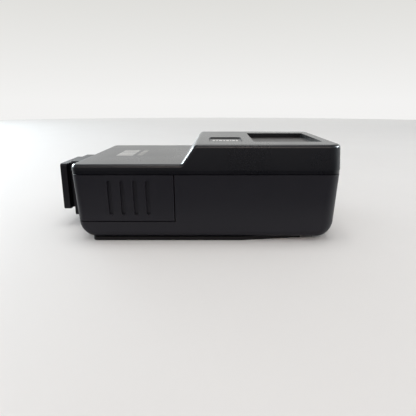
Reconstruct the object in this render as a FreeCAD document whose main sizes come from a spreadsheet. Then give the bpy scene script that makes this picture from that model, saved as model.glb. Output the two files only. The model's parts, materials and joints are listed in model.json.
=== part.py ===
"""Wireless flash trigger: a stepped plastic casing with a shoe foot, two cells and an infrared flash.

Millimetres. The casing lies on its back. +X runs from the shoe foot to the raised end,
+Y from the battery door to the switch side, +Z up. The origin is at the bottom centre.
"""

import FreeCAD, Part
import math
import os
import re
import Sketcher

SIZES = {
    # casing, measured from its left, front and bottom faces
    "body_length": 80.1,
    "body_depth": 53.2,
    "base_height": 1.1,
    "low_height": 23.85,
    "high_height": 29.5,
    "ramp_start": 32.6,
    "ramp_run": 3.95,
    "ramp_round": 2.1,
    "ramp_foot_round": 0.8,
    "ledge_height": 22.05,
    "rim_height": 20.66,
    "seam_gap": 0.25,
    "ledge_inset": 0.1,
    "wall": 1.6,
    "corner_radius": 3.9,
    "corner_left": 2.0,
    "cavity_corner": 2.0,
    "top_round": 1.0,
    "upper_draft": 2.85,
    "lower_draft": 2.8,
    "end_round": 5.2,
    "side_round": 2.0,
    "cavity_end_round": 3.4,
    "cavity_side_round": 2.0,
    "lip_clearance": 0.1,
    "lip_thick": 0.8,
    "lip_bottom": 18.6,
    "lip_top": 22.0,
    "post_overlap": 0.5,
    "high_margin": 0.4,
    # rubber pad under the back face
    "pad_left": 4.6,
    "pad_taper_start": 50.8,
    "pad_right": 73.6,
    "pad_front": 1.6,
    "pad_tapered_front": 5.0,
    "pad_round": 1.5,
    # infrared window and badge in the raised half
    "window_start": 54.6,
    "window_length": 21.4,
    "window_width": 33.6,
    "window_round": 0.8,
    "window_rim": 0.9,
    "window_thick": 1.2,
    "badge_start": 40.5,
    "badge_length": 10.65,
    "badge_front": 10.2,
    "badge_width": 15.4,
    "badge_drop": 0.4,
    "badge_thick": 0.3,
    "badge_round": 1.0,
    # accessory-shoe foot
    "shoe_width": 18.6,
    "shoe_thick": 2.1,
    "shoe_bottom": 5.8,
    "shoe_top": 21.45,
    "neck_width": 12.4,
    "rail_gap": 1.6,
    "shoe_round": 0.8,
    "block_reach": 5.8,
    "block_width": 18.5,
    "block_bottom": 3.6,
    "block_top": 22.25,
    "block_round": 1.0,
    "block_depth": 3.0,
    "pin_tip": 0.6,
    "backing_thick": 1.0,
    "backing_width": 21.0,
    "backing_bottom": 4.6,
    "backing_top": 20.2,
    "foot_screw_radius": 0.85,
    "foot_screw_head": 1.6,
    "foot_screw_sink": 0.9,
    "foot_screw_across": 4.3,
    "foot_screw_up": 4.8,
    # sprung contact
    "pin_radius": 1.0,
    "pin_clearance": 0.05,
    "collar_radius": 1.85,
    "collar_thick": 0.6,
    "tail_radius": 0.6,
    "tail_end": 3.2,
    "bush_radius": 2.5,
    "bush_lip": 1.0,
    "bush_bore": 2.05,
    "bush_end": 1.0,
    "contact_spring_radius": 1.4,
    "contact_wire": 0.2,
    "spring_gap": 0.05,
    "screw_inset": 0.1,
    # battery door
    "door_length": 30.5,
    "door_bottom": 6.45,
    "door_gap": 0.3,
    "door_return": 9.6,
    "groove_start": 10.5,
    "groove_pitch": 3.79,
    "groove_width": 1.25,
    "groove_depth": 0.7,
    "groove_bottom": 8.47,
    "groove_top": 19.03,
    "tongue_thick": 0.85,
    "tongue_front": 2.9,
    "tongue_bottom": 5.1,
    "tongue_step": 7.7,
    "hook_front": 2.05,
    "hook_step": 19.2,
    "hook_top": 21.7,
    "tongue_left": 1.2,
    "tongue_web_front": 2.2,
    "hook_web_front": 1.4,
    "sliding_gap": 0.15,
    # cells
    "cell_radius": 5.25,
    "cell_length": 44.0,
    "nub_radius": 1.9,
    "nub_length": 0.8,
    "cell_spread": 6.0,
    "cell_centre": 17.1,
    "cell_height": 13.5,
    "cell_front": 3.35,
    "cell_slack": 0.3,
    "tray_wall": 1.2,
    "tray_front": 5.0,
    "tray_back": 44.8,
    "tray_floor": 1.5,
    "tray_rise": 5.0,
    "rib_thick": 1.2,
    "contact_thick": 0.3,
    "door_contact_front": 2.75,
    "door_contact_half": 3.5,
    "door_contact_rise": 3.0,
    "rear_contact_half": 3.6,
    "rear_contact_rise": 3.5,
    "contact_back": 48.5,
    "cell_wire": 0.3,
    # screws and posts
    "post_near": 5.7,
    "post_left": 33.4,
    "post_right": 71.0,
    "post_radius": 2.6,
    "post_split": 12.0,
    "case_screw_radius": 1.0,
    "case_screw_hole": 1.2,
    "case_screw_head": 1.9,
    "case_screw_top": 17.0,
    "sink_radius": 2.2,
    "sink_depth": 3.4,
    "head_bottom": 1.8,
    # boards
    "board_left": 36.8,
    "board_right": 70.6,
    "board_front": 6.2,
    "board_back": 47.0,
    "board_bottom": 5.0,
    "board_thick": 1.2,
    "board_screw_from_end": 6.0,
    "board_screw_from_side": 1.7,
    "board_screw_radius": 0.8,
    "board_screw_head": 1.3,
    "standoff_radius": 2.2,
    "switch_board_thick": 1.0,
    "switch_board_front": 12.0,
    "switch_board_back": 38.0,
    "switch_board_top": 17.0,
    "switch_board_gap": 1.2,
    "guide_end": 3.3,
    "guide_near": 0.8,
    "guide_far": 2.4,
    "guide_step": 1.6,
    # flash
    "reflector_length": 29.4,
    "reflector_sheet": 0.4,
    "reflector_mouth": 9.2,
    "reflector_throat": 4.0,
    "reflector_bottom": 18.2,
    "tube_radius": 1.5,
    "tube_length": 27.6,
    "tube_height": 21.6,
    "cap_length": 2.4,
    "seat_radius": 2.3,
    "bracket_gap": 0.2,
    "bracket_thick": 1.5,
    "bracket_half": 7.0,
    "bracket_top": 25.4,
    "bracket_short": 2.4,
    "reflector_flare": 1.3,
    # parts on the main board
    "capacitor_radius": 4.4,
    "capacitor_length": 24.0,
    "capacitor_left": 45.4,
    "capacitor_front": 9.8,
    "core_left": 55.0,
    "core_front": 13.7,
    "core_length": 10.0,
    "core_depth": 4.0,
    "core_height": 9.0,
    "core_leg": 1.3,
    "core_middle": 2.4,
    "winding_depth": 7.6,
    "winding_clearance": 0.1,
    "coil_left": 55.5,
    "coil_front": 22.5,
    "coil_length": 8.0,
    "coil_radius": 2.5,
    "flange_radius": 3.0,
    "flange_thick": 0.8,
    "chip_left": 56.0,
    "chip_front": 30.0,
    "chip_length": 6.0,
    "chip_depth": 5.0,
    "chip_height": 1.5,
    "small_left": 51.4,
    "small_front": 20.0,
    "small_step_across": 1.8,
    "small_step_back": 3.0,
    "small_length": 1.2,
    "small_depth": 2.0,
    "small_height": 0.8,
    # controls on the right end and the back face
    "control_height": 12.6,
    "button_front": 18.8,
    "button_radius": 3.4,
    "button_gap": 0.15,
    "button_flange": 4.2,
    "button_face": 79.95,
    "flange_front": 77.75,
    "flange_back": 76.95,
    "switch_side": 6.0,
    "switch_face": 75.25,
    "switch_bore": 1.6,
    "plunger_start": 0.9,
    "plunger_radius": 1.6,
    "lamp_front": 31.0,
    "lamp_radius": 1.5,
    "lamp_rim": 1.9,
    "lamp_recess": 0.3,
    "power_left": 52.0,
    "power_height": 9.2,
    "knob_length": 5.0,
    "knob_height": 3.0,
    "knob_gap": 0.2,
    "knob_travel": 3.0,
    "knob_face": 52.75,
    "dish_margin": 2.2,
    "slider_plate": 0.9,
    "slider_margin": 1.2,
    "slider_back": 49.95,
    "lever_half": 0.9,
    "lever_end": 46.95,
    "power_body_back": 48.65,
    "power_body_depth": 3.2,
    "power_body_half": 5.6,
    "power_body_rise": 2.2,
    "ridge_pitch": 1.0,
    "ridge_half": 0.3,
    "ridge_depth": 0.4,
    "jack_left": 42.6,
    "jack_height": 11.2,
    "jack_bore": 1.8,
    "jack_bore_length": 13.0,
    "jack_nose": 2.9,
    "jack_body_half": 3.6,
    "jack_body_front": 36.4,
    "jack_body_back": 50.2,
    "jack_face": 52.4,
    "jack_ring_radius": 4.1,
    "lead_radius": 0.35,
    "lead_from_board_edge": 1.3,
    "lead_from_tray": 0.48,
    "lead_rise": 1.0,
    "lead_drop": 3.85,
    "positive_lead_back": 11.0,
    "negative_lead_back": 13.6,
}

# lengths worked out from the driving ones
DERIVED = {
    "left": "(block_reach + rail_gap + shoe_thick + pin_tip - body_length) / 2",
    "right": "left + body_length",
    "front": "-body_depth / 2",
    "back": "body_depth / 2",
    "floor_top": "base_height + wall",
    "floor_middle": "base_height + wall / 2",
    "lip_inset": "ledge_inset + wall + lip_clearance",
    "skirt_bottom": "rim_height + seam_gap",
    "ceiling_low": "low_height - wall",
    "ceiling_high": "high_height - wall",
    "plate_outer": "left - block_reach - rail_gap - shoe_thick",
    "neck_outer": "left - block_reach - rail_gap",
    "block_outer": "left - block_reach",
    "shoe_height": "(shoe_bottom + shoe_top) / 2",
    "window_middle": "left + window_start + window_length / 2",
    "board_top": "board_bottom + board_thick",
    "tray_half": "cell_spread + cell_radius + cell_slack + tray_wall",
    "cells": "left + cell_centre",
    "power_middle": "left + power_left + knob_length / 2",
}

doc = FreeCAD.newDocument("flash_trigger")
sheet = doc.addObject("Spreadsheet::Sheet", "sizes")
for row, (alias, size) in enumerate(SIZES.items(), start=1):
    sheet.set(f"A{row}", alias.replace("_", " "))
    sheet.set(f"B{row}", str(size))
    sheet.setAlias(f"B{row}", alias)
doc.recompute()

nodes = {}


def bound(expression):
    """The expression with every size written as a reference to the sheet."""

    def reference(match):
        word = match.group(0)
        if word in DERIVED:
            return f"({bound(DERIVED[word])})"
        return f"sizes.{word}" if word in SIZES else word

    return re.sub(r"[a-z_]+", reference, str(expression))


def number(expression):
    return float(sheet.evalExpression(bound(expression)))


def bind(item, **properties):
    """Bind properties to expressions; two underscores stand for the dot in a nested name."""
    for name, expression in properties.items():
        item.setExpression(name.replace("__", "."), bound(expression))


def node(name, item):
    """Name a finished sub-part, which is exported under that name."""
    item.Label = name
    nodes[name] = item
    return item


def put(item, at, along="Z"):
    """Turn an item's Z axis along a row axis, and bind its place."""
    turns = {
        "X": FreeCAD.Rotation(FreeCAD.Vector(0, 1, 0), 90),
        "Y": FreeCAD.Rotation(FreeCAD.Vector(1, 0, 0), -90),
        "Z": FreeCAD.Rotation(),
    }
    item.Placement = FreeCAD.Placement(FreeCAD.Vector(), turns[along])
    for axis, expression in zip("xyz", at):
        item.setExpression(f"Placement.Base.{axis}", bound(expression))
    return item


def box(low, high, name="block"):
    """A box from its low corner to its high corner."""
    item = doc.addObject("Part::Box", name)
    for side, start, end in zip(("Length", "Width", "Height"), low, high):
        item.setExpression(side, bound(f"({end}) - ({start})"))
    return put(item, low)


def cylinder(at, radius, length, along="Z", name="rod"):
    item = doc.addObject("Part::Cylinder", name)
    bind(item, Radius=radius, Height=length)
    return put(item, at, along)


def fuse(*parts):
    item = doc.addObject("Part::MultiFuse", "joined")
    item.Shapes = list(parts)
    return item


def cut(base, *tools):
    item = doc.addObject("Part::Cut", "trimmed")
    item.Base = base
    item.Tool = tools[0] if len(tools) == 1 else fuse(*tools)
    return item


def common(*parts):
    item = doc.addObject("Part::MultiCommon", "overlap")
    item.Shapes = list(parts)
    return item


def group(*parts):
    """Separate solids kept in one sub-part."""
    item = doc.addObject("Part::Compound", "group")
    item.Links = list(parts)
    return item


def ends(edge):
    return edge.valueAt(edge.FirstParameter), edge.valueAt(edge.LastParameter)


def runs_along(edge, axis, least=0.2):
    """True if the edge's two ends are apart mostly along one axis."""
    first, last = ends(edge)
    span = last - first
    across = [abs(getattr(span, other)) for other in "xyz" if other != axis]
    return abs(getattr(span, axis)) > least and max(across) < 0.4 * abs(getattr(span, axis))


def rounded(base, radius, choose):
    """Round the edges that choose accepts; radius is an expression or a function of the point."""
    doc.recompute()
    item = doc.addObject("Part::Fillet", "rounded")
    item.Base = base
    chosen = []
    for index, edge in enumerate(base.Shape.Edges, start=1):
        if choose(edge):
            radii = [radius(point) if callable(radius) else number(radius) for point in ends(edge)]
            chosen.append((index, *radii))
    item.Edges = chosen
    return item


def upright_rounded(base, radius):
    return rounded(base, radius, lambda edge: runs_along(edge, "z"))


def origin_plane(body, role):
    return next(plane for plane in body.Origin.OriginFeatures if plane.Role == role)


def outline(body, role, points, height="0"):
    """A closed sketch of straight lines; each corner is held to the origin by its two sizes."""
    sketch = body.newObject("Sketcher::SketchObject", "outline")
    sketch.AttachmentSupport = [(origin_plane(body, role), "")]
    sketch.MapMode = "FlatFace"
    sketch.setExpression("AttachmentOffset.Base.z", bound(height))
    corners = [FreeCAD.Vector(number(across), number(up), 0) for across, up in points]
    for index, corner in enumerate(corners):
        following = corners[(index + 1) % len(corners)]
        sketch.addGeometry(Part.LineSegment(corner, following), False)
    for index in range(len(corners)):
        following = (index + 1) % len(corners)
        sketch.addConstraint(Sketcher.Constraint("Coincident", index, 2, following, 1))
    for index, (corner, place) in enumerate(zip(corners, points)):
        for kind, size, expression in zip(("DistanceX", "DistanceY"), corner, place):
            constraint = Sketcher.Constraint(kind, -1, 1, index, 1, size)
            number_of = sketch.addConstraint(constraint)
            sketch.setExpression(f"Constraints[{number_of}]", bound(expression))
    return sketch


def prism(role, points, length, height="0", taper=None, both_ways=False, reverse=False):
    """A Pad of a closed outline, from the plane at height or both ways about it."""
    body = doc.addObject("PartDesign::Body", "prism")
    sketch = outline(body, role, points, height)
    pad = body.newObject("PartDesign::Pad", "pad")
    pad.Profile = sketch
    pad.Reversed = reverse
    pad.SideType = "Symmetric" if both_ways else "One side"
    bind(pad, Length=length)
    if taper:
        bind(pad, TaperAngle=taper)
    return body


def turned(points, at, along="X"):
    """A Revolution about the X axis: points are (place along the axis, radius)."""
    body = doc.addObject("PartDesign::Body", "turned")
    sketch = outline(body, "XZ_Plane", points)
    revolution = body.newObject("PartDesign::Revolution", "revolution")
    revolution.Profile = sketch
    revolution.ReferenceAxis = (origin_plane(body, "X_Axis"), [""])
    revolution.Angle = 360
    for axis, expression in zip("xyz", at):
        body.setExpression(f"Placement.Base.{axis}", bound(expression))
    return body


def coil(radius, wire, length, turns, at, along):
    """A round-wire helical spring. Its wire stays inside radius plus half the wire."""
    pitch = number(length) / turns
    path = Part.makeHelix(pitch, number(length), number(radius))
    start = FreeCAD.Vector(number(radius), 0, 0)
    section = Part.Wire(Part.makeCircle(number(wire), start, FreeCAD.Vector(0, 1, 0)))
    item = doc.addObject("Part::Feature", "coil")
    item.Shape = Part.Wire(path).makePipeShell([section], True, True)
    return put(item, at, along)


def plan(inset):
    """The casing's rectangle in plan, pulled in by an inset."""
    return [
        (f"left + {inset}", f"front + {inset}"),
        (f"right - ({inset})", f"front + {inset}"),
        (f"right - ({inset})", f"back - ({inset})"),
        (f"left + {inset}", f"back - ({inset})"),
    ]


def plan_box(inset, bottom, top):
    low = (f"left + {inset}", f"front + {inset}", bottom)
    high = (f"right - ({inset})", f"back - ({inset})", top)
    return box(low, high)


def tub(inset, bottom, left_corner, right_corner, end_round, side_round):
    """A drafted block below the rim: its two ends are round below, then its long sides all about."""
    depth = f"rim_height - ({bottom})"
    block = prism("XY_Plane", plan(inset), depth, "rim_height", "-lower_draft", reverse=True)
    floor = number(bottom) + 0.01

    def on_floor(edge):
        return max(point.z for point in ends(edge)) < floor

    ended = rounded(block, end_round, lambda edge: runs_along(edge, "y", 20) and on_floor(edge))

    def about_side(edge):
        first, last = ends(edge)
        along_rim = min(first.z, last.z) > number("rim_height") - 0.01
        return first.y * last.y > 0 and not along_rim

    def radius(point):
        if point.z < floor:
            return number(side_round)
        return number(left_corner if point.x < 0 else right_corner)

    return rounded(ended, radius, about_side)


def posts(bottom, top, radius, right_top=None):
    """Four upright rods on the casing screws' axes; the right pair may end higher."""
    return [
        cylinder((f"left + {x}", y, bottom), radius, f"{end} - ({bottom})")
        for x, end in (("post_left", top), ("post_right", right_top or top))
        for y in ("front + post_near", "back - post_near")
    ]


def board_posts(bottom, top, radius):
    places = [
        (f"left + {x}", f"front + {y}")
        for x in ("board_left + board_screw_from_end", "board_right - board_screw_from_end")
        for y in ("board_front + board_screw_from_side", "board_back - board_screw_from_side")
    ]
    return [cylinder((x, y, bottom), radius, f"{top} - ({bottom})") for x, y in places]


def foot_screw_places():
    return [
        (f"{across} foot_screw_across", f"shoe_height {up} foot_screw_up")
        for across in ("-", "")
        for up in ("-", "+")
    ]


def door_region(gap):
    """The part of the casing's wall that the door takes: the long side and a short return."""
    side = box(
        ("left - 1", "front - 1", f"door_bottom - ({gap})"),
        (f"left + door_length + {gap} - door_gap", "front + 4", f"rim_height + {gap}"),
    )
    corner = box(
        ("left - 1", "front - 1", f"door_bottom - ({gap})"),
        ("left + 4", f"front + door_return + {gap}", f"rim_height + {gap}"),
    )
    return fuse(side, corner)


def plan_corner(point):
    """The casing's corner radius in plan; the shoe end is squarer."""
    return number("corner_left" if point.x < 0 else "corner_radius")


# lower shell: a hollow tub with openings for the door, the foot and the controls
tub_outer = tub(
    "ledge_inset", "base_height", "corner_left", "corner_radius", "end_round", "side_round"
)
tub_cavity = tub(
    "(ledge_inset + wall)",
    "floor_top",
    "cavity_corner",
    "cavity_corner",
    "cavity_end_round",
    "cavity_side_round",
)
tub_grooved = tub(
    "(ledge_inset + groove_depth)",
    "(base_height + groove_depth)",
    "corner_left",
    "corner_radius",
    "end_round",
    "side_round",
)
tub_wall = cut(tub_outer, tub_cavity)
tub_skin = cut(tub_outer, tub_grooved)


def lip():
    """A ring inside the rim that stands up into the upper shell."""
    outer = upright_rounded(plan_box("lip_inset", "lip_bottom", "lip_top"), "cavity_corner")
    inner = upright_rounded(
        plan_box("(lip_inset + lip_thick)", "lip_bottom - 1", "lip_top + 1"), "cavity_corner"
    )
    root_outer = upright_rounded(
        plan_box("(ledge_inset + wall / 2)", "lip_bottom", "rim_height - seam_gap"), "cavity_corner"
    )
    door_zone = box(
        ("left", "front", "lip_bottom - 1"),
        ("left + door_length + 1", "front + door_return + 1", "lip_top + 1"),
    )
    foot_zone = box(
        ("left", "-backing_width / 2 - 1", "lip_bottom - 1"),
        ("left + 8", "backing_width / 2 + 1", "lip_top + 1"),
    )
    return cut(fuse(outer, root_outer), inner, door_zone, foot_zone)


def cradle_ribs():
    """Three ribs on the floor that carry the battery tray."""
    ribs = []
    for place in ("10", "25", "40"):
        low = ("cells - tray_half + 1", f"front + {place}", "floor_middle")
        high = (
            "cells + tray_half - 1",
            f"front + {place} + rib_thick",
            "cell_height - cell_radius - tray_floor",
        )
        ribs.append(box(low, high))
    return ribs


def board_guides():
    """Two slotted blocks that hold the upright switch board."""
    guides = []
    for place in ("switch_board_front", "switch_board_back - guide_step"):
        low = ("left + board_right + 0.1", f"front + {place} - guide_near", "floor_middle")
        high = ("left + board_right + guide_end", f"front + {place} + guide_far", "board_bottom")
        guides.append(box(low, high))
    return guides


switch_board_space = box(
    ("left + board_right + switch_board_gap", "front + switch_board_front", "floor_top"),
    (
        "left + board_right + switch_board_gap + switch_board_thick",
        "front + switch_board_back",
        "switch_board_top",
    ),
    "switch_board",
)


def power_dish():
    """A shallow finger recess around the power knob, as deep as the door's grooves."""
    low = (
        "power_middle - knob_length / 2 - dish_margin",
        "0",
        "power_height - knob_height / 2 - dish_margin",
    )
    high = (
        "power_middle + knob_length / 2 + knob_travel + dish_margin",
        "back + 1",
        "power_height + knob_height / 2 + dish_margin",
    )
    return common(box(low, high), tub_skin)


def knob_slot(margin, start, end):
    """The space that the knob sweeps, with a margin all round it."""
    low = (
        f"power_middle - knob_length / 2 - {margin}", start, f"power_height - knob_height / 2 - {margin}"
    )
    high = (
        f"power_middle + knob_length / 2 + knob_travel + {margin}",
        end,
        f"power_height + knob_height / 2 + {margin}",
    )
    return box(low, high)


def jack_ring_space():
    """The shallow round seat around the jack's nose, flush with the casing's wall."""
    return common(
        cylinder(("left + jack_left", "back - 6", "jack_height"), "jack_ring_radius", "8", "Y"), tub_skin
    )


def common_in_tub(parts):
    """Keep only what lies inside the tub's outer surface."""
    return [common(part, tub_outer) for part in parts]


def lower_shell():
    solid = fuse(
        tub_wall,
        lip(),
        *common_in_tub(posts("floor_middle", "post_split", "post_radius")),
        *board_posts("floor_middle", "board_bottom", "standoff_radius"),
        *cradle_ribs(),
        *board_guides(),
    )
    tongue_way = box(
        ("left - 1", "front + tongue_front - sliding_gap", "tongue_bottom - sliding_gap"),
        ("left + 7", "front + tongue_front + tongue_thick + sliding_gap", "door_bottom"),
    )
    foot_way = box(
        ("left - 1", "-block_width / 2", "block_bottom"),
        ("left + block_depth", "block_width / 2", "rim_height + 2"),
    )
    button_way = cylinder(
        ("right - 6", "front + button_front", "control_height"), "button_radius + button_gap", "8", "X"
    )
    lamp_way = cylinder(("right - 6", "front + lamp_front", "control_height"), "lamp_radius", "8", "X")
    jack_way = cylinder(("left + jack_left", "back - 6", "jack_height"), "jack_nose", "8", "Y")
    return cut(
        solid,
        door_region("door_gap"),
        tongue_way,
        foot_way,
        button_way,
        lamp_way,
        jack_way,
        jack_ring_space(),
        power_dish(),
        knob_slot("knob_gap", "back - 6", "back + 1"),
        switch_board_space,
        *posts("-1", "post_split + 1", "case_screw_hole"),
        *posts("-1", "sink_depth", "sink_radius"),
        *board_posts("board_bottom - 3", "board_bottom + 1", "board_screw_radius"),
    )


node("lower_shell", lower_shell())


def back_pad():
    """A rubber pad under the back face, narrower towards the raised end, open at the screws."""
    low_x, taper_x, high_x = "left + pad_left", "left + pad_taper_start", "left + pad_right"
    plan_points = [
        (low_x, "front + pad_front"),
        (taper_x, "front + pad_front"),
        (high_x, "front + pad_tapered_front"),
        (high_x, "back - pad_tapered_front"),
        (taper_x, "back - pad_front"),
        (low_x, "back - pad_front"),
    ]
    plate = upright_rounded(prism("XY_Plane", plan_points, "base_height"), "pad_round")
    return cut(plate, *posts("-1", "base_height + 1", "sink_radius"))


node("back_pad", back_pad())


# upper shell: the stepped cover
def stepped_block():
    block = prism("XY_Plane", plan("0"), "high_height - ledge_height", "ledge_height", "-upper_draft")
    cornered = rounded(block, plan_corner, lambda edge: runs_along(edge, "z", 5))
    step = prism(
        "XZ_Plane",
        [
            ("left - 2", "low_height"),
            ("left + ramp_start", "low_height"),
            ("left + ramp_start + ramp_run", "high_height"),
            ("left + ramp_start + ramp_run", "high_height + 2"),
            ("left - 2", "high_height + 2"),
        ],
        "body_depth + 4",
        both_ways=True,
    )
    stepped = cut(cornered, step)
    ramp_ends = (number("left + ramp_start"), number("left + ramp_start + ramp_run"))

    def on_ramp(edge):
        return runs_along(edge, "y", 20) and min(abs(ends(edge)[0].x - x) for x in ramp_ends) < 0.05

    def ramp_radius(point):
        return number("ramp_round" if point.z > number("low_height") + 1 else "ramp_foot_round")

    ramped = rounded(stepped, ramp_radius, on_ramp)
    lowest = number("low_height") - 0.1
    low_x = number("left + ramp_start - 2 * ramp_round")
    high_x = number("left + ramp_start + ramp_run + 2 * ramp_round")

    def on_outline(edge):
        crosses_ramp = runs_along(edge, "y", 20) and low_x < ends(edge)[0].x < high_x
        return min(point.z for point in ends(edge)) > lowest and not crosses_ramp

    return rounded(ramped, "top_round", on_outline)


def upper_cavity():
    low = upright_rounded(
        plan_box("(ledge_inset + wall)", "skirt_bottom - 1", "ceiling_low"), "cavity_corner"
    )
    high = prism(
        "XZ_Plane",
        [
            ("left + ramp_start + wall", "ceiling_low - 1"),
            ("right - ledge_inset - wall - high_margin", "ceiling_low - 1"),
            ("right - ledge_inset - wall - high_margin", "ceiling_high"),
            ("left + ramp_start + ramp_run + wall", "ceiling_high"),
            ("left + ramp_start + wall", "ceiling_low"),
        ],
        "body_depth - 2 * (ledge_inset + wall + high_margin)",
        both_ways=True,
    )
    return fuse(low, high)


def badge_box(bottom, top):
    low = ("left + badge_start", "front + badge_front", bottom)
    high = ("left + badge_start + badge_length", "front + badge_front + badge_width", top)
    return upright_rounded(box(low, high), "badge_round")


def window_box(margin, bottom, top):
    low = (f"left + window_start - {margin}", f"-window_width / 2 - {margin}", bottom)
    high = (f"left + window_start + window_length + {margin}", f"window_width / 2 + {margin}", top)
    return upright_rounded(box(low, high), "window_round")


def upper_shell():
    skirt = upright_rounded(plan_box("ledge_inset", "skirt_bottom", "ledge_height"), plan_corner)
    hollow = cut(fuse(stepped_block(), skirt), upper_cavity())
    ceiling_posts = posts(
        "post_split", "ceiling_low + post_overlap", "post_radius", "ceiling_high + post_overlap"
    )
    hook_way = box(
        ("left - 1", "front + hook_front - sliding_gap", "rim_height"),
        ("left + 7", "front + hook_front + tongue_thick + sliding_gap", "hook_top + sliding_gap"),
    )
    foot_way = box(
        ("left - 1", "-block_width / 2", "rim_height"),
        ("left + block_depth", "block_width / 2", "block_top"),
    )
    return cut(
        fuse(hollow, *ceiling_posts),
        hook_way,
        foot_way,
        window_box("0", "ceiling_high - 1", "high_height + 1"),
        badge_box("high_height - badge_drop - badge_thick", "high_height + 1"),
        *posts("post_split - 1", "case_screw_top", "case_screw_radius"),
    )


node("upper_shell", upper_shell())
node("window_panel", window_box("window_rim", "ceiling_high - window_thick", "ceiling_high"))
node(
    "badge_plate",
    badge_box("high_height - badge_drop - badge_thick", "high_height - badge_drop"),
)


# battery door: a piece of the tub's wall with grip grooves and two tongues
def slot_along_z(x, bottom, top, width):
    """An upright slot with round ends, cut through from the front."""
    radius = f"{width} / 2"
    middle = box(
        (f"{x}", "front - 1", f"{bottom} + {radius}"),
        (f"{x} + {width}", "front + 4", f"{top} - {radius}"),
    )
    round_ends = [
        cylinder((f"{x} + {radius}", "front - 1", z), radius, "5", "Y")
        for z in (f"{bottom} + {radius}", f"{top} - {radius}")
    ]
    return fuse(middle, *round_ends)


def battery_door():
    panel = common(tub_wall, door_region("0"))
    slots = [
        slot_along_z(
            f"left + groove_start + {index} * groove_pitch", "groove_bottom", "groove_top", "groove_width"
        )
        for index in range(4)
    ]
    grooves = common(fuse(*slots), tub_skin)
    inner_back = "front + tongue_front + tongue_thick"
    door_end = "left + door_length - door_gap - 1"
    tongue = box(
        ("left + tongue_left", "front + tongue_front", "tongue_bottom"),
        (door_end, inner_back, "tongue_step"),
    )
    tongue_web = box(
        ("left + tongue_left", "front + tongue_web_front", "door_bottom + 0.1"),
        (door_end, inner_back, "tongue_step"),
    )
    hook_back = "front + hook_front + tongue_thick"
    hook = box(
        ("left + tongue_left", "front + hook_front", "hook_step"), (door_end, hook_back, "hook_top")
    )
    hook_web = box(
        ("left + tongue_left", "front + hook_web_front", "hook_step"),
        (door_end, hook_back, "rim_height - 0.2"),
    )
    return fuse(cut(panel, grooves), common(fuse(tongue, tongue_web), tub_outer), hook, hook_web)


node("battery_door", battery_door())
node(
    "door_contact",
    box(
        (
            "cells - cell_spread - door_contact_half",
            "front + door_contact_front",
            "cell_height - door_contact_rise",
        ),
        (
            "cells + cell_spread + door_contact_half",
            "front + door_contact_front + contact_thick",
            "cell_height + door_contact_rise",
        ),
    ),
)


# shoe foot
def along_foot(radius, start, end):
    return [
        cylinder((start, y, z), radius, f"{end} - ({start})", "X") for y, z in foot_screw_places()
    ]


def upright_across(base, radius):
    """Round the four edges that run along X."""
    return rounded(base, radius, lambda edge: runs_along(edge, "x"))


def foot_plate():
    plate = upright_across(
        box(
            ("plate_outer", "-shoe_width / 2", "shoe_bottom"),
            ("neck_outer", "shoe_width / 2", "shoe_top"),
        ),
        "shoe_round",
    )
    neck = box(
        ("neck_outer", "-neck_width / 2", "shoe_bottom"), ("block_outer", "neck_width / 2", "shoe_top")
    )
    heads = along_foot("foot_screw_head", "plate_outer - 1", "plate_outer + foot_screw_sink")
    holes = along_foot("foot_screw_radius", "plate_outer", "block_outer + 1")
    chamber = cylinder(("plate_outer - 1", "0", "shoe_height"), "bush_radius", "12", "X")
    return cut(fuse(plate, neck), chamber, *heads, *holes)


def foot_block():
    block = upright_across(
        box(
            ("block_outer", "-block_width / 2", "block_bottom"),
            ("left + block_depth", "block_width / 2", "block_top"),
        ),
        "block_round",
    )
    chamber = cylinder(
        ("block_outer - 1", "0", "shoe_height"), "bush_radius", "block_reach + 1 - bush_end", "X"
    )
    wire_way = cylinder(("left - 3", "0", "shoe_height"), "tail_radius", "10", "X")
    return cut(block, chamber, wire_way, *along_foot("foot_screw_radius", "block_outer - 1", "left + 10"))


def contact_spring():
    start = "plate_outer + bush_lip + spring_gap + collar_thick + contact_wire + spring_gap"
    length = f"left - bush_end - contact_wire - spring_gap - ({start})"
    return coil("contact_spring_radius", "contact_wire", length, 7, (start, "0", "shoe_height"), "X")


node("foot_plate", foot_plate())
node("foot_block", foot_block())
node(
    "foot_backing_plate",
    cut(
        box(
            ("left + block_depth", "-backing_width / 2", "backing_bottom"),
            ("left + block_depth + backing_thick", "backing_width / 2", "backing_top"),
        ),
        cylinder(("left", "0", "shoe_height"), "tail_radius", "10", "X"),
        *along_foot("foot_screw_radius", "left + block_depth - 1", "left + block_depth + 5"),
    ),
)
node(
    "foot_screws",
    group(
        *[
            fuse(head, shank)
            for head, shank in zip(
                along_foot(
                    "foot_screw_head", "plate_outer + screw_inset", "plate_outer + foot_screw_sink"
                ),
                along_foot(
                    "foot_screw_radius", "plate_outer + screw_inset", "left + block_depth + backing_thick"
                ),
            )
        ]
    ),
)
node(
    "contact_bush",
    turned(
        [
            ("0", "pin_radius + pin_clearance"),
            ("bush_lip", "pin_radius + pin_clearance"),
            ("bush_lip", "bush_bore"),
            ("block_reach + rail_gap + shoe_thick - bush_end", "bush_bore"),
            ("block_reach + rail_gap + shoe_thick - bush_end", "bush_radius"),
            ("0", "bush_radius"),
        ],
        ("plate_outer", "0", "shoe_height"),
    ),
)
node(
    "contact_pin",
    turned(
        [
            ("-pin_tip", "0"),
            ("-pin_tip", "pin_radius - 0.3"),
            ("0.3 - pin_tip", "pin_radius"),
            ("bush_lip + spring_gap", "pin_radius"),
            ("bush_lip + spring_gap", "collar_radius"),
            ("bush_lip + spring_gap + collar_thick", "collar_radius"),
            ("bush_lip + spring_gap + collar_thick", "tail_radius"),
            ("tail_end + spring_gap", "tail_radius"),
            ("tail_end + spring_gap", "0"),
        ],
        ("plate_outer", "0", "shoe_height"),
    ),
)
node("contact_spring", contact_spring())


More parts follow.
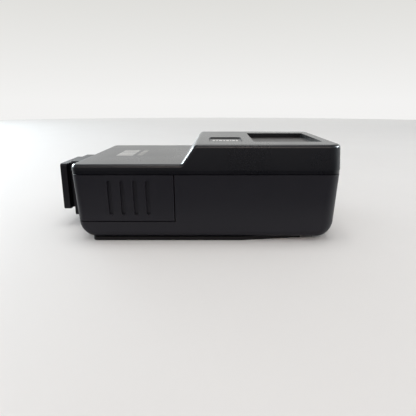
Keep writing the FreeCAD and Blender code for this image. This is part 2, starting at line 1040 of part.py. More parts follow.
# cells, tray and contacts
def battery_cell(side, nub_at_front):
    """One cell; its nub is at the door or at the rear contacts."""
    x = f"cells {side} cell_spread"
    can_front = "front + cell_front + nub_length" if nub_at_front else "front + cell_front"
    nub_front = "front + cell_front" if nub_at_front else "front + cell_front + cell_length - nub_length"
    can = cylinder((x, can_front, "cell_height"), "cell_radius", "cell_length - nub_length", "Y")
    can = rounded(can, "0.5", lambda edge: edge.Closed)
    nub = cylinder((x, nub_front, "cell_height"), "nub_radius", "nub_length", "Y")
    return fuse(can, nub)


def battery_tray():
    block = box(
        ("cells - tray_half", "front + tray_front", "cell_height - cell_radius - tray_floor"),
        ("cells + tray_half", "front + tray_back", "cell_height + tray_rise"),
    )
    ways = []
    for side in ("-", "+"):
        middle = f"cells {side} cell_spread"
        reach = "cell_radius + cell_slack"
        ways.append(cylinder((middle, "front", "cell_height"), reach, "body_depth", "Y"))
        ways.append(
            box(
                (f"{middle} - ({reach})", "front", "cell_height"),
                (f"{middle} + {reach}", "back", "cell_height + 6"),
            )
        )
    return cut(block, *ways)


node("battery_tray", battery_tray())
node("battery_cell_left", battery_cell("-", True))
node("battery_cell_right", battery_cell("+", False))


def rear_contacts():
    plates = []
    for side in ("-", "+"):
        x = f"cells {side} cell_spread"
        plate = box(
            (
                f"{x} - rear_contact_half",
                "front + contact_back - contact_thick",
                "cell_height - rear_contact_rise",
            ),
            (f"{x} + rear_contact_half", "front + contact_back", "cell_height + rear_contact_rise"),
        )
        plates.append(plate)
    gap = "contact_back - contact_thick - cell_front - cell_length"
    dimple = cylinder(
        ("cells + cell_spread", "front + cell_front + cell_length", "cell_height"), "1.6", gap, "Y"
    )
    return group(plates[0], fuse(plates[1], dimple))


node("rear_contacts", rear_contacts())
node(
    "rear_spring",
    coil(
        "3",
        "cell_wire",
        "contact_back - contact_thick - cell_front - cell_length - 2 * cell_wire",
        1.5,
        ("cells - cell_spread", "front + cell_front + cell_length + cell_wire", "cell_height"),
        "Y",
    ),
)


def lead(points):
    """A round wire along straight runs that are joined by tangent arcs."""
    corners = [FreeCAD.Vector(*[number(size) for size in point]) for point in points]
    edges = []
    start = corners[0]
    for before, corner, after in zip(corners, corners[1:], corners[2:]):
        inward = (before - corner).normalize()
        outward = (after - corner).normalize()
        half_turn = (math.pi - inward.getAngle(outward)) / 2
        shorter = min((before - corner).Length, (after - corner).Length)
        radius = 0.45 * shorter / math.tan(half_turn)
        tangent = radius * math.tan(half_turn)
        to_middle = radius / math.cos(half_turn) - radius
        arc_start = corner + inward * tangent
        arc_end = corner + outward * tangent
        arc_middle = corner + (inward + outward).normalize() * to_middle
        edges.append(Part.LineSegment(start, arc_start).toShape())
        edges.append(Part.Arc(arc_start, arc_middle, arc_end).toShape())
        start = arc_end
    edges.append(Part.LineSegment(start, corners[-1]).toShape())
    first_run = (corners[1] - corners[0]).normalize()
    section = Part.Wire(Part.makeCircle(number("lead_radius"), corners[0], first_run))
    item = doc.addObject("Part::Feature", "lead")
    item.Shape = Part.Wire(edges).makePipeShell([section], True, True)
    return item


def battery_leads():
    """Two wires from the rear contacts, past the tray's side, to the main board."""
    behind_tray = "front + contact_back - 0.5"
    beside_edge = "left + board_left + lead_from_board_edge"
    beside_tray = "cells + tray_half + lead_from_tray"
    positive = [
        ("cells + cell_spread + rear_contact_half", behind_tray, "cell_height + lead_rise"),
        (beside_tray, behind_tray, "cell_height + lead_rise"),
        (beside_tray, "back - positive_lead_back + 0.8", "cell_height + lead_rise"),
        (beside_edge, "back - positive_lead_back", "cell_height + lead_rise"),
        (beside_edge, "back - positive_lead_back", "board_top"),
    ]
    negative = [
        ("cells - cell_spread + 1", behind_tray, "cell_height - lead_drop"),
        (beside_tray, behind_tray, "cell_height - lead_drop"),
        (beside_tray, "back - negative_lead_back + 1.4", "cell_height - lead_drop"),
        (beside_edge, "back - negative_lead_back", "cell_height - lead_drop"),
        (beside_edge, "back - negative_lead_back", "board_top"),
    ]
    return group(lead(positive), lead(negative))


node("battery_leads", battery_leads())


# boards
def main_board():
    board = box(
        ("left + board_left", "front + board_front", "board_bottom"),
        ("left + board_right", "front + board_back", "board_top"),
    )
    return cut(
        board,
        *board_posts("board_bottom - 1", "board_top + 1", "board_screw_radius"),
        *posts("board_bottom - 1", "board_top + 1", "post_radius + 0.2"),
    )


node("main_board", main_board())
node(
    "board_screws",
    group(
        *[
            fuse(head, shank)
            for head, shank in zip(
                board_posts("board_top", "board_top + 1", "board_screw_head"),
                board_posts("board_bottom - 2.8", "board_top", "board_screw_radius"),
            )
        ]
    ),
)
node("switch_board", switch_board_space)
node(
    "case_screws",
    group(
        *[
            fuse(head, shank)
            for head, shank in zip(
                posts("head_bottom", "sink_depth", "case_screw_head"),
                posts("head_bottom", "case_screw_top", "case_screw_radius"),
            )
        ]
    ),
)


# flash
def reflector():
    """A folded trough of thin sheet with two end plates."""
    flare = "reflector_sheet * reflector_flare"
    trough = prism(
        "XZ_Plane",
        [
            ("window_middle - reflector_mouth", "ceiling_high - window_thick"),
            ("window_middle - reflector_throat", "reflector_bottom"),
            ("window_middle + reflector_throat", "reflector_bottom"),
            ("window_middle + reflector_mouth", "ceiling_high - window_thick"),
        ],
        "reflector_length",
        both_ways=True,
    )
    hollow = prism(
        "XZ_Plane",
        [
            (f"window_middle - reflector_mouth + {flare}", "ceiling_high - window_thick + 0.1"),
            (f"window_middle - reflector_throat + {flare} / 2", "reflector_bottom + reflector_sheet"),
            (f"window_middle + reflector_throat - {flare} / 2", "reflector_bottom + reflector_sheet"),
            (f"window_middle + reflector_mouth - {flare}", "ceiling_high - window_thick + 0.1"),
        ],
        "reflector_length - 2 * reflector_sheet",
        both_ways=True,
    )
    tube_way = cylinder(("window_middle", "-20", "tube_height"), "seat_radius", "40", "Y")
    return cut(trough, hollow, tube_way)


node("reflector", reflector())
node(
    "flash_tube",
    cylinder(("window_middle", "-tube_length / 2", "tube_height"), "tube_radius", "tube_length", "Y"),
)


def tube_caps():
    caps = []
    for start in ("-tube_length / 2 - cap_length", "tube_length / 2"):
        caps.append(cylinder(("window_middle", start, "tube_height"), "tube_radius", "cap_length", "Y"))
    return group(*caps)


def tube_seats():
    """Rubber bushes in the reflector's end plates, around the tube's ends."""
    seats = []
    for start in ("-reflector_length / 2 - bracket_gap", "reflector_length / 2 - 1"):
        place = ("window_middle", start, "tube_height")
        seat = cylinder(place, "seat_radius", "1 + bracket_gap", "Y")
        seats.append(cut(seat, cylinder(place, "tube_radius", "1 + bracket_gap", "Y")))
    return group(*seats)


def tube_brackets():
    brackets = []
    for start in (
        "-reflector_length / 2 - bracket_gap - bracket_thick", "reflector_length / 2 + bracket_gap"
    ):
        plate = box(
            ("window_middle - bracket_half", start, "board_top"),
            ("window_middle + bracket_half - bracket_short", f"{start} + bracket_thick", "bracket_top"),
        )
        way = cylinder(
            ("window_middle", f"{start} - 1", "tube_height"), "tube_radius", "bracket_thick + 2", "Y"
        )
        brackets.append(cut(plate, way))
    return group(*brackets)


node("tube_caps", tube_caps())
node("tube_seats", tube_seats())
node("tube_brackets", tube_brackets())


# parts on the main board
node(
    "main_capacitor",
    rounded(
        cylinder(
            ("left + capacitor_left", "front + capacitor_front", "board_top + capacitor_radius"),
            "capacitor_radius",
            "capacitor_length",
            "Y",
        ),
        "0.6",
        lambda edge: edge.Closed,
    ),
)


def transformer_core():
    block = box(
        ("left + core_left", "front + core_front", "board_top"),
        ("left + core_left + core_length", "front + core_front + core_depth", "board_top + core_height"),
    )
    windows = []
    for low, high in (
        ("core_leg", "core_length / 2 - core_middle / 2"),
        ("core_length / 2 + core_middle / 2", "core_length - core_leg"),
    ):
        windows.append(
            box(
                (f"left + core_left + {low}", "front + core_front - 1", "board_top + core_leg"),
                (
                    f"left + core_left + {high}",
                    "front + core_front + core_depth + 1",
                    "board_top + core_height - core_leg",
                ),
            )
        )
    return cut(block, *windows)


def transformer_winding():
    overhang = "(winding_depth - core_depth) / 2"
    block = box(
        (
            "left + core_left + core_leg + winding_clearance",
            f"front + core_front - {overhang}",
            "board_top + core_leg + winding_clearance",
        ),
        (
            "left + core_left + core_length - core_leg - winding_clearance",
            f"front + core_front + core_depth + {overhang}",
            "board_top + core_height - core_leg - winding_clearance",
        ),
    )
    leg = box(
        ("left + core_left + core_length / 2 - core_middle / 2", "front + core_front", "board_top"),
        (
            "left + core_left + core_length / 2 + core_middle / 2",
            "front + core_front + core_depth",
            "board_top + core_height",
        ),
    )
    return cut(block, leg)


def trigger_coil():
    """A wound bobbin with a flange at each end."""
    return turned(
        [
            ("0", "0"),
            ("0", "flange_radius"),
            ("flange_thick", "flange_radius"),
            ("flange_thick", "coil_radius"),
            ("coil_length - flange_thick", "coil_radius"),
            ("coil_length - flange_thick", "flange_radius"),
            ("coil_length", "flange_radius"),
            ("coil_length", "0"),
        ],
        ("left + coil_left", "front + coil_front", "board_top + flange_radius"),
    )


def small_part(x, y, size):
    low = (f"left + {x}", f"front + {y}", "board_top")
    high = (f"left + {x} + {size[0]}", f"front + {y} + {size[1]}", f"board_top + {size[2]}")
    return box(low, high)


node("transformer_core", transformer_core())
node("transformer_winding", transformer_winding())
node("trigger_coil", trigger_coil())
node(
    "control_chip",
    small_part("chip_left", "chip_front", ("chip_length", "chip_depth", "chip_height")),
)


def small_parts():
    """Two columns of three chip parts."""
    size = ("small_length", "small_depth", "small_height")
    parts = []
    for index in range(6):
        across = f"small_left + {index % 2} * small_step_across"
        along = f"small_front + {index // 2} * small_step_back"
        parts.append(small_part(across, along, size))
    return group(*parts)


node("small_parts", small_parts())


# test button and ready lamp on the right end
def along_x(start, end, radius, place, name="rod"):
    """A rod along X between two distances from the casing's left face."""
    return cylinder(
        (f"left + {start}", f"front + {place}", "control_height"), radius, f"{end} - ({start})", "X", name
    )


def test_button():
    cap = rounded(
        along_x("flange_back", "button_face", "button_radius", "button_front"),
        "0.5",
        lambda edge: edge.Closed and ends(edge)[0].x > number("left + button_face") - 0.1,
    )
    return fuse(cap, along_x("flange_back", "flange_front", "button_flange", "button_front"))


def tactile_switch():
    half = "switch_side / 2"
    case = box(
        (
            "left + board_right + switch_board_gap + switch_board_thick",
            f"front + button_front - {half}",
            f"control_height - {half}",
        ),
        ("left + switch_face", f"front + button_front + {half}", f"control_height + {half}"),
    )
    bore = along_x(
        "switch_face - switch_bore", "switch_face + 1", "plunger_radius + pin_clearance", "button_front"
    )
    return cut(case, bore)


def ready_lamp():
    start = "board_right + switch_board_gap + switch_board_thick"
    lens = along_x(start, "button_face - lamp_recess", "lamp_radius", "lamp_front")
    lens = rounded(lens, "0.9", lambda edge: edge.Closed and ends(edge)[0].x > number("right - 4"))
    return fuse(lens, along_x(start, f"{start} + 1", "lamp_rim", "lamp_front"))


node("test_button", test_button())
node(
    "switch_plunger",
    along_x("switch_face - plunger_start", "flange_back", "plunger_radius", "button_front"),
)
node("tactile_switch", tactile_switch())
node("ready_lamp", ready_lamp())


# power switch on the back face
def power_switch():
    """A housing with a slot along X for the slider's lever."""
    case = box(
        (
            "power_middle - power_body_half + knob_travel / 2",
            "front + power_body_back - power_body_depth",
            "board_top",
        ),
        (
            "power_middle + power_body_half + knob_travel / 2",
            "front + power_body_back",
            "power_height + power_body_rise",
        ),
    )
    way = box(
        (
            "power_middle - lever_half - sliding_gap",
            "front + lever_end - 0.2",
            "power_height - lever_half - sliding_gap",
        ),
        (
            "power_middle + lever_half + knob_travel + sliding_gap",
            "front + power_body_back + 1",
            "power_height + lever_half + sliding_gap",
        ),
    )
    return cut(case, way)


def power_knob():
    cap = box(
        ("power_middle - knob_length / 2", "front + slider_back", "power_height - knob_height / 2"),
        ("power_middle + knob_length / 2", "front + knob_face", "power_height + knob_height / 2"),
    )
    ridges = []
    for index in range(4):
        middle = f"power_middle + {index - 1.5} * ridge_pitch"
        low = (f"{middle} - ridge_half", "front + knob_face - ridge_depth", "power_height - knob_height")
        high = (f"{middle} + ridge_half", "front + knob_face + 1", "power_height + knob_height")
        ridges.append(box(low, high))
    plate = box(
        (
            "power_middle - knob_length / 2 - slider_margin",
            "front + slider_back - slider_plate",
            "power_height - knob_height / 2 - slider_margin",
        ),
        (
            "power_middle + knob_length / 2 + slider_margin",
            "front + slider_back",
            "power_height + knob_height / 2 + slider_margin",
        ),
    )
    lever = box(
        ("power_middle - lever_half", "front + lever_end", "power_height - lever_half"),
        ("power_middle + lever_half", "front + slider_back", "power_height + lever_half"),
    )
    return fuse(cut(cap, *ridges), plate, lever)


node("power_switch", power_switch())
node("power_knob", power_knob())


# sync jack on the back face
def sync_jack():
    middle = "left + jack_left"
    case = box(
        (f"{middle} - jack_body_half", "front + jack_body_front", "jack_height - jack_body_half"),
        (f"{middle} + jack_body_half", "front + jack_body_back", "jack_height + jack_body_half"),
    )
    nose = cylinder(
        (middle, "front + jack_body_back", "jack_height"), "jack_nose", "jack_face - jack_body_back", "Y"
    )
    bore = cylinder(
        (middle, "front + jack_face - jack_bore_length", "jack_height"),
        "jack_bore",
        "jack_bore_length + 1",
        "Y",
    )
    return cut(fuse(case, nose), bore)


node("sync_jack", sync_jack())
node(
    "jack_ring",
    cut(
        jack_ring_space(),
        cylinder(("left + jack_left", "back - 8", "jack_height"), "jack_nose", "10", "Y"),
    ),
)

doc.recompute()
for item in doc.Objects:
    if "Invalid" in item.State or "Error" in item.State:
        raise RuntimeError(f"{item.Name} did not recompute: {item.State}")
os.makedirs("parts", exist_ok=True)
for name, item in nodes.items():
    shape = item.Shape
    if shape.isNull() or not shape.isValid() or not shape.Solids:
        raise RuntimeError(f"{name} has no valid solid")
    shape.exportStep(f"parts/{name}.step")
    print(f"{name}: {len(shape.Solids)} solids, {shape.Volume:.1f} mm3")
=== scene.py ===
"""Looks of the wireless flash trigger, built round its CAD frame.

Materials, printed marks, camera, floor and light. Lengths are in millimetres where MM follows them
or where they are given to add_block, and otherwise in metres.
"""

import bpy
import bmesh
import json
import math
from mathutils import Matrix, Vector

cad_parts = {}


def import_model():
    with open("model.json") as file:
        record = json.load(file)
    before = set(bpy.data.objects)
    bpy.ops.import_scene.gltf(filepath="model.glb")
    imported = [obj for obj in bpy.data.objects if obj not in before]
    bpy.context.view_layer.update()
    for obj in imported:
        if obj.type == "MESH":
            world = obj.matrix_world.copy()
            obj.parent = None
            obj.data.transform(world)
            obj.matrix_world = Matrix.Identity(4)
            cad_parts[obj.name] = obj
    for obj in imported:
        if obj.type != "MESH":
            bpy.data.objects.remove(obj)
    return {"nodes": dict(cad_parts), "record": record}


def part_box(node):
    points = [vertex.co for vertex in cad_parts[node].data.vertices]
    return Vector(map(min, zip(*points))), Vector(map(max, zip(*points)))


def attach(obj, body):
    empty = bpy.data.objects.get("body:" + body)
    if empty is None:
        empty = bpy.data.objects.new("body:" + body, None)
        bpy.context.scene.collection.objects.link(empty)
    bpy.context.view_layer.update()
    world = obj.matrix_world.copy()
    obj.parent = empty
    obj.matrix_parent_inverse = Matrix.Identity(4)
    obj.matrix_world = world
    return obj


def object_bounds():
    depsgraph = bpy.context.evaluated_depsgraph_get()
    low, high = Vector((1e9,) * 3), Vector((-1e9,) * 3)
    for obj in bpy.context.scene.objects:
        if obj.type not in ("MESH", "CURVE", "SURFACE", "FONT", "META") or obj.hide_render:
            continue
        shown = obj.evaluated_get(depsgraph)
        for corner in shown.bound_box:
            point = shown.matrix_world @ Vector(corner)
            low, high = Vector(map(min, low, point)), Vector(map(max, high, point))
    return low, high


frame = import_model()
cad_low, cad_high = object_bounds()

MM = 0.001
# sockets of the Mix node that have no name of their own for colours
COLOUR_A = 6
COLOUR_B = 7
MIXED_COLOUR = 2

scene = bpy.context.scene
scene.view_settings.view_transform = "Standard"


# ---------------------------------------------------------------- materials
class Shader:
    """A Principled material with a few helpers for wiring procedural nodes into it."""

    def __init__(self, name, **constants):
        self.material = bpy.data.materials.new(name)
        self.material.use_nodes = True
        self.tree = self.material.node_tree
        self.principled = self.tree.nodes["Principled BSDF"]
        for socket, value in constants.items():
            self.principled.inputs[socket.replace("_", " ")].default_value = value
        coordinates = self.tree.nodes.new("ShaderNodeTexCoord")
        self.place = coordinates.outputs["Object"]

    def node(self, kind, inputs=None, **settings):
        made = self.tree.nodes.new(kind)
        for name, value in settings.items():
            setattr(made, name, value)
        for name, value in (inputs or {}).items():
            if isinstance(value, bpy.types.NodeSocket):
                self.tree.links.new(value, made.inputs[name])
            else:
                made.inputs[name].default_value = value
        return made

    def noise(self, per_mm, detail=3.0, stretch=(1, 1, 1), roughness=0.5):
        """Noise whose features repeat about per_mm times in a millimetre."""
        scaled = self.node("ShaderNodeMapping", {"Vector": self.place, "Scale": stretch})
        inputs = {"Vector": scaled.outputs[0], "Scale": per_mm / MM, "Detail": detail}
        inputs["Roughness"] = roughness
        return self.node("ShaderNodeTexNoise", inputs).outputs["Fac"]

    def ramp(self, factor, stops):
        """A colour ramp from (position, colour) pairs."""
        made = self.node("ShaderNodeValToRGB", {"Fac": factor})
        ramp = made.color_ramp
        while len(ramp.elements) < len(stops):
            ramp.elements.new(0.5)
        for element, (position, colour) in zip(ramp.elements, stops):
            element.position = position
            element.color = (*colour, 1)
        return made.outputs["Color"]

    def math(self, operation, first, second):
        made = self.node("ShaderNodeMath", operation=operation)
        for index, value in enumerate((first, second)):
            if isinstance(value, bpy.types.NodeSocket):
                self.tree.links.new(value, made.inputs[index])
            else:
                made.inputs[index].default_value = value
        return made.outputs[0]

    def span(self, factor, low, high):
        """The factor, 0 to 1, spread from low to high."""
        inputs = {"Value": factor, "To Min": low, "To Max": high}
        return self.node("ShaderNodeMapRange", inputs).outputs["Result"]

    def mix(self, factor, first, second):
        """Two colours, or colour sockets, mixed by a factor's socket."""
        made = self.node("ShaderNodeMix", {"Factor": factor}, data_type="RGBA")
        for index, value in ((COLOUR_A, first), (COLOUR_B, second)):
            if isinstance(value, bpy.types.NodeSocket):
                self.tree.links.new(value, made.inputs[index])
            else:
                made.inputs[index].default_value = (*value, 1)
        return made.outputs[MIXED_COLOUR]

    def feed(self, **sockets):
        for name, socket in sockets.items():
            self.tree.links.new(socket, self.principled.inputs[name.replace("_", " ")])

    def bump(self, height, depth_mm):
        """Add a relief that is depth_mm deep where height runs from 0 to 1."""
        inputs = {"Height": height, "Distance": depth_mm * MM, "Strength": 1.0}
        made = self.node("ShaderNodeBump", inputs)
        self.tree.links.new(made.outputs["Normal"], self.principled.inputs["Normal"])


def plastic(name, colour, lighter, roughness, specular, grain, grain_depth):
    """Moulded plastic: a fine grain, broad drifts of shade and gloss, and faint rubbed specks."""
    s = Shader(name, IOR=1.5, Specular_IOR_Level=specular)
    drift = s.noise(DRIFTS_PER_MM, 4.0)
    fine = s.noise(grain, 5.0, roughness=0.6)
    speck = s.ramp(s.noise(grain * 1.7, 2.0), [(0.66, (0, 0, 0)), (0.76, (1, 1, 1))])
    tone = s.mix(drift, colour, lighter)
    rubbed = tuple(min(1.0, 1.6 * value + 0.004) for value in lighter)
    s.feed(Base_Color=s.mix(s.math("MULTIPLY", speck, 0.5), tone, rubbed))
    gloss = s.math("ADD", s.span(drift, -0.05, 0.05), s.span(fine, roughness - 0.05, roughness + 0.05))
    s.feed(Roughness=gloss)
    s.bump(fine, grain_depth)
    return s.material


def metal(name, colour, darker, roughness, stretch=(1, 1, 1), per_mm=3.0):
    """Metal with drawn or tumbled marks and slight tarnish."""
    s = Shader(name, Metallic=1.0)
    marks = s.noise(per_mm, 4.0, stretch)
    tarnish = s.ramp(s.noise(0.35, 4.0), [(0.42, (0, 0, 0)), (0.75, (1, 1, 1))])
    s.feed(Base_Color=s.mix(tarnish, colour, darker))
    s.feed(Roughness=s.span(marks, roughness - 0.06, roughness + 0.1))
    s.bump(marks, METAL_MARK_DEPTH)
    return s.material


DRIFTS_PER_MM = 0.06
METAL_MARK_DEPTH = 0.002
# colour, lighter colour, roughness, specular level, grains in a millimetre, depth of a grain
PLASTICS = {
    "upper_plastic": ((0.0018, 0.0021, 0.0045), (0.0028, 0.0031, 0.0058), 0.29, 0.4, 2.4, 0.0012),
    "lower_plastic": ((0.0108, 0.0108, 0.0155), (0.0138, 0.0138, 0.0185), 0.4, 0.26, 1.8, 0.004),
    "foot_plastic": ((0.005, 0.005, 0.0075), (0.009, 0.009, 0.012), 0.38, 0.2, 1.6, 0.006),
    "tray_plastic": ((0.03, 0.03, 0.032), (0.042, 0.042, 0.044), 0.5, 0.4, 1.4, 0.006),
    "control_plastic": ((0.014, 0.014, 0.016), (0.022, 0.022, 0.024), 0.42, 0.3, 1.8, 0.005),
    "chip_plastic": ((0.012, 0.012, 0.013), (0.02, 0.02, 0.021), 0.55, 0.4, 3.0, 0.004),
    "insulator": ((0.012, 0.012, 0.013), (0.02, 0.02, 0.02), 0.25, 0.4, 1.2, 0.002),
    "seat_rubber": ((0.62, 0.62, 0.58), (0.72, 0.72, 0.68), 0.7, 0.4, 1.5, 0.01),
    "pad_rubber": ((0.004, 0.004, 0.0045), (0.007, 0.007, 0.0075), 0.62, 0.2, 1.4, 0.008),
    "lead_sleeve": ((0.42, 0.03, 0.022), (0.5, 0.045, 0.03), 0.42, 0.5, 1.2, 0.003),
    "capacitor_sleeve": ((0.012, 0.014, 0.06), (0.02, 0.022, 0.085), 0.22, 0.5, 0.6, 0.003),
    "cell_jacket": ((0.2, 0.215, 0.24), (0.25, 0.265, 0.29), 0.28, 0.5, 0.8, 0.002),
    "ferrite": ((0.035, 0.034, 0.033), (0.06, 0.058, 0.055), 0.62, 0.5, 2.6, 0.015),
}
# colour, darker colour, roughness, then where they aren't plain the stretch and number of the marks
METALS = {
    "badge_metal": ((0.03, 0.03, 0.032), (0.016, 0.016, 0.018), 0.3, (1, 12, 1), 4.0),
    "contact_metal": ((0.74, 0.71, 0.64), (0.5, 0.46, 0.38), 0.24),
    "sheet_steel": ((0.56, 0.56, 0.55), (0.4, 0.4, 0.38), 0.34, (1, 1, 9)),
    "screw_steel": ((0.06, 0.06, 0.062), (0.03, 0.03, 0.03), 0.38),
    "spring_steel": ((0.68, 0.68, 0.67), (0.5, 0.5, 0.48), 0.2),
    "reflector_metal": ((0.86, 0.86, 0.85), (0.76, 0.76, 0.74), 0.1, (9, 1, 1)),
}


def winding():
    """Taped winding with its turns showing through."""
    s = Shader("winding_copper")
    turns = s.node(
        "ShaderNodeTexWave",
        {"Vector": s.place, "Scale": 0.55 / MM, "Distortion": 0.6, "Detail": 2.0},
        bands_direction="X",
    ).outputs["Fac"]
    s.feed(Base_Color=s.mix(turns, (0.5, 0.3, 0.06), (0.8, 0.55, 0.14)))
    s.feed(Roughness=s.span(turns, 0.28, 0.45))
    s.bump(turns, 0.05)
    return s.material


def solder_mask():
    """Green board with runs of track under the mask and tinned pads."""
    s = Shader("circuit_board", IOR=1.5)
    cells = s.node("ShaderNodeTexBrick", {"Vector": s.place, "Scale": 0.35 / MM, "Mortar Size": 0.03})
    track = cells.outputs["Fac"]
    spots = s.node("ShaderNodeTexVoronoi", {"Vector": s.place, "Scale": 0.42 / MM}).outputs["Distance"]
    pad = s.ramp(spots, [(0.12, (1, 1, 1)), (0.16, (0, 0, 0))])
    green = s.mix(track, (0.01, 0.1, 0.035), (0.018, 0.17, 0.06))
    s.feed(Base_Color=s.mix(pad, green, (0.66, 0.65, 0.62)))
    s.feed(Metallic=pad, Roughness=s.span(s.noise(0.5), 0.24, 0.4))
    s.bump(s.math("MAXIMUM", track, pad), 0.03)
    return s.material


def lens_red():
    """Cloudy red lens of the ready lamp."""
    s = Shader("lamp_lens", IOR=1.49, Transmission_Weight=0.6, Specular_IOR_Level=0.5)
    cloud = s.noise(0.8, 3.0)
    s.feed(Base_Color=s.mix(cloud, (0.6, 0.02, 0.012), (0.75, 0.05, 0.03)))
    s.feed(Roughness=s.span(cloud, 0.1, 0.2))
    s.bump(cloud, 0.01)
    return s.material


def clear_glass():
    """Drawn glass of the flash tube."""
    s = Shader("tube_glass", IOR=1.47, Transmission_Weight=1.0)
    streak = s.noise(0.4, 3.0, (1, 0.1, 1))
    s.feed(Base_Color=s.mix(streak, (0.9, 0.93, 0.95), (0.97, 0.98, 0.99)))
    s.feed(Roughness=s.span(streak, 0.01, 0.05))
    return s.material


def filter_plastic():
    """Dark infrared filter with a pebbled face."""
    s = Shader("window_filter", IOR=1.5, Specular_IOR_Level=0.3)
    pebble = s.noise(1.5, 4.0, (1.0, 0.7, 1.0))
    drift = s.noise(0.12, 3.0)
    s.feed(Base_Color=s.mix(drift, (0.012, 0.008, 0.007), (0.02, 0.013, 0.011)))
    s.feed(Roughness=s.span(pebble, 0.3, 0.48))
    s.bump(pebble, 0.05)
    return s.material


def white_ink():
    """Slightly worn white print."""
    s = Shader("print_ink", IOR=1.45, Specular_IOR_Level=0.3)
    worn = s.noise(1.6, 4.0)
    s.feed(Base_Color=s.mix(worn, (0.55, 0.55, 0.53), (0.82, 0.82, 0.8)))
    s.feed(Roughness=s.span(worn, 0.4, 0.6))
    s.bump(worn, 0.004)
    return s.material


print_ink = white_ink()
slot_looks = {name: plastic(name, *look) for name, look in PLASTICS.items()}
slot_looks.update({name: metal(name, *look) for name, look in METALS.items()})
slot_looks["circuit_board"] = solder_mask()
slot_looks["lamp_lens"] = lens_red()
slot_looks["tube_glass"] = clear_glass()
slot_looks["winding_copper"] = winding()
slot_looks["window_filter"] = filter_plastic()
for part in frame["record"]["subparts"]:
    materials = frame["nodes"][part["node"]].data.materials
    materials.clear()
    materials.append(slot_looks[part["material_slot"]])


# ---------------------------------------------------------------- printed marks
INK_THICK = 0.03
INK_BEVEL = 0.01
# the low half's top above the origin, as in the CAD
LOW_HALF_TOP = 23.85
# the plain bars, from the upper shell's left and front faces: two rows, side by side along X
FIRST_BAR_ACROSS = 20.2
LONG_ROW = (8.8, 14.4)
SHORT_ROW = (15.8, 17.6)
SHORT_BAR = (0.5, 1.1)
# each bar's width and the gap after it
BARS = ((1.3, 0.7), (0.7, 0.9), (1.5, 0.6), (0.6, 0.9), (1.2, 1.3), (0.8, 0.7), (1.4, 1.0), (0.7, 0.8))
# the badge's dashes
DASH_MARGIN = 1.1
DASH_GAP = 0.32
DASH_DEPTH = 3.6
DASH_START = 0.38
DASHES = (0.9, 0.5, 1.2, 0.6, 1.0, 0.4, 0.9, 0.6)


def add_block(form, low, high, bevel):
    """A block with bevelled edges from its low corner to its high one, in millimetres."""
    made = bmesh.ops.create_cube(form, size=1.0)["verts"]
    for vertex in made:
        for axis in range(3):
            middle = (low[axis] + high[axis]) / 2
            vertex.co[axis] = (middle + vertex.co[axis] * (high[axis] - low[axis])) * MM
    edges = list({edge for vertex in made for edge in vertex.link_edges})
    bmesh.ops.bevel(form, geom=edges, offset=bevel * MM, segments=2, profile=0.5, affect="EDGES")


def add_mark(form, low, high, top):
    """A printed rectangle on a level face, from its low corner to its high one in plan."""
    add_block(form, (*low, top), (*high, top + INK_THICK), INK_BEVEL)


def finish_marks(form, name):
    bmesh.ops.recalc_face_normals(form, faces=form.faces)
    mesh = bpy.data.meshes.new(name)
    form.to_mesh(mesh)
    form.free()
    mesh.materials.append(print_ink)
    made = bpy.data.objects.new(name, mesh)
    scene.collection.objects.link(made)
    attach(made, "casing")


def plateau_marks():
    """Two rows of plain printed bars on the low half."""
    shell_low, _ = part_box("upper_shell")
    left = shell_low.x / MM
    across = shell_low.y / MM + FIRST_BAR_ACROSS
    long_start, long_end = LONG_ROW
    short_start, short_end = SHORT_ROW
    short_near, short_far = SHORT_BAR
    form = bmesh.new()
    for width, gap in BARS:
        add_mark(form, (left + long_start, across), (left + long_end, across + width), LOW_HALF_TOP)
        low = (left + short_start, across + short_near)
        add_mark(form, low, (left + short_end, across + short_far), LOW_HALF_TOP)
        across += width + gap
    finish_marks(form, "plateau_marks")


def badge_marks():
    """A row of short printed dashes on the badge."""
    low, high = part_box("badge_plate")
    near = ((1 - DASH_START) * low.y + DASH_START * high.y) / MM
    along = low.x / MM + DASH_MARGIN
    form = bmesh.new()
    for length in DASHES:
        add_mark(form, (along, near), (along + length, near + DASH_DEPTH), high.z / MM)
        along += length + DASH_GAP
    finish_marks(form, "badge_marks")


badge_marks()
plateau_marks()


# ---------------------------------------------------------------- camera
CAMERA_PLACE = (8.39, -142.69, 41.87)
CAMERA_DOWN = 15.0
CAMERA_LENS = 34.695
CAMERA_SENSOR = 36
CAMERA_SHIFT = -0.024


def camera():
    """The viewpoint: in front of the door side, above the casing, looking down at it."""
    data = bpy.data.cameras.new("camera")
    data.lens = CAMERA_LENS
    data.sensor_width = CAMERA_SENSOR
    data.shift_x = CAMERA_SHIFT
    data.clip_start = 0.005
    data.clip_end = 50
    made = bpy.data.objects.new("camera", data)
    scene.collection.objects.link(made)
    made.location = Vector(CAMERA_PLACE) * MM
    made.rotation_euler = (math.radians(90 - CAMERA_DOWN), 0, 0)
    scene.camera = made


camera()


# ---------------------------------------------------------------- floor and light
FLOOR_RADIUS = 0.9
FLOOR_GAP = 0.00002
FLAG_GAP = 0.0003
FLAG_HALF_WIDTH = 0.5
FLAG_NEAR = -0.6
FLAG_FAR = -0.05
LIT_CENTRE = Vector((0, 0, 0.01))
NEUTRAL_WARM = (1.0, 0.99, 0.94)
NEUTRAL = (1.0, 0.99, 0.97)
WARM = (1.0, 0.84, 0.76)
DAYLIGHT = (0.84, 0.94, 1.0)
# the room: seen at the horizon and higher up, and the light that it gives
ROOM_LOW = (0.9, 0.895, 0.885)
ROOM_HIGH = (0.74, 0.735, 0.71)
ROOM_FADE_TOP = 0.22
ROOM_LIGHT = (0.5, 0.506, 0.514)


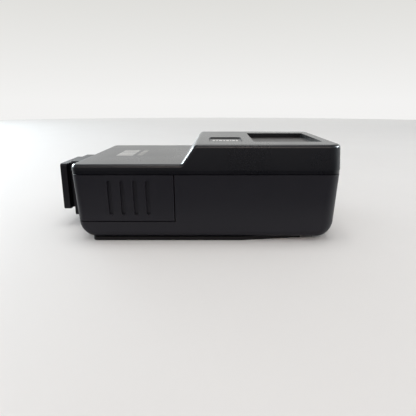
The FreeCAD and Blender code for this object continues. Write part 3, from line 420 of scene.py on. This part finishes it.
def floor():
    """A pale round sheet of board under the casing."""
    mesh = bpy.data.meshes.new("floor")
    form = bmesh.new()
    bmesh.ops.create_circle(form, cap_ends=True, segments=96, radius=FLOOR_RADIUS)
    form.to_mesh(mesh)
    form.free()
    made = bpy.data.objects.new("floor", mesh)
    scene.collection.objects.link(made)
    made.location.z = cad_low.z - FLOOR_GAP
    s = Shader("floor_board", Specular_IOR_Level=0.2)
    fibre = s.noise(0.02, 3.0)
    s.feed(Base_Color=s.mix(fibre, (0.8, 0.795, 0.785), (0.83, 0.828, 0.82)))
    s.feed(Roughness=s.span(fibre, 0.75, 0.9))
    mesh.materials.append(s.material)


def softbox(name, place, size, brightness, colour, glints_only=False):
    """A rectangular light that the camera doesn't see, aimed at the casing.

    Its power grows with its area, so that brightness alone sets how bright its reflection is.
    One that is for glints only doesn't light matt surfaces.
    """
    data = bpy.data.lights.new(name, "AREA")
    data.shape = "RECTANGLE"
    data.size, data.size_y = size
    data.energy = brightness * math.pi * size[0] * size[1]
    data.color = colour
    made = bpy.data.objects.new(name, data)
    scene.collection.objects.link(made)
    made.location = place
    made.rotation_euler = (LIT_CENTRE - made.location).to_track_quat("-Z", "Y").to_euler()
    made.visible_camera = False
    made.visible_diffuse = not glints_only


def flag():
    """Black card just above the floor in front, which shows only in reflections."""
    mesh = bpy.data.meshes.new("dark_flag")
    form = bmesh.new()
    corners = (
        (-FLAG_HALF_WIDTH, FLAG_FAR, 0),
        (FLAG_HALF_WIDTH, FLAG_FAR, 0),
        (FLAG_HALF_WIDTH, FLAG_NEAR, 0),
        (-FLAG_HALF_WIDTH, FLAG_NEAR, 0),
    )
    form.faces.new([form.verts.new(corner) for corner in corners])
    form.to_mesh(mesh)
    form.free()
    made = bpy.data.objects.new("dark_flag", mesh)
    scene.collection.objects.link(made)
    made.location.z = cad_low.z + FLAG_GAP
    made.visible_camera = False
    made.visible_diffuse = False
    made.visible_shadow = False
    s = Shader("dark_card", Specular_IOR_Level=0.0)
    nap = s.noise(0.5)
    s.feed(Base_Color=s.mix(nap, (0.02, 0.02, 0.022), (0.03, 0.03, 0.032)))
    s.feed(Roughness=s.span(nap, 0.8, 0.95))
    mesh.materials.append(s.material)


def world():
    """A pale room: what the camera sees is near white, what lights the object is dimmer."""
    made = bpy.data.worlds.new("room")
    scene.world = made
    made.use_nodes = True
    tree = made.node_tree
    seen = tree.nodes["Background"]
    direction = tree.nodes.new("ShaderNodeTexCoord")
    parts = tree.nodes.new("ShaderNodeSeparateXYZ")
    tree.links.new(direction.outputs["Generated"], parts.inputs[0])
    fade = tree.nodes.new("ShaderNodeValToRGB")
    tree.links.new(parts.outputs["Z"], fade.inputs["Fac"])
    fade.color_ramp.elements[0].color = (*ROOM_LOW, 1)
    fade.color_ramp.elements[1].position = ROOM_FADE_TOP
    fade.color_ramp.elements[1].color = (*ROOM_HIGH, 1)
    tree.links.new(fade.outputs["Color"], seen.inputs["Color"])
    lit = tree.nodes.new("ShaderNodeBackground")
    lit.inputs["Color"].default_value = (*ROOM_LIGHT, 1)
    path = tree.nodes.new("ShaderNodeLightPath")
    chosen = tree.nodes.new("ShaderNodeMixShader")
    tree.links.new(path.outputs["Is Camera Ray"], chosen.inputs[0])
    tree.links.new(lit.outputs[0], chosen.inputs[1])
    tree.links.new(seen.outputs[0], chosen.inputs[2])
    tree.links.new(chosen.outputs[0], tree.nodes["World Output"].inputs["Surface"])


floor()
world()
flag()
softbox("back_panel", (0, 0.9, 0.22), (2.0, 0.42), 0.5, NEUTRAL_WARM)
softbox("front_strip", (0.05, -0.85, 0.5), (0.7, 0.16), 7.0, WARM)
softbox("left_window", (-0.75, 0.42, 0.3), (1.0, 0.24), 44.0, DAYLIGHT, glints_only=True)
softbox("right_window", (0.95, 0.12, 0.42), (0.6, 0.26), 44.0, DAYLIGHT, glints_only=True)
softbox("top_fill", (0, 0.05, 1.0), (0.5, 0.4), 5.0, NEUTRAL)
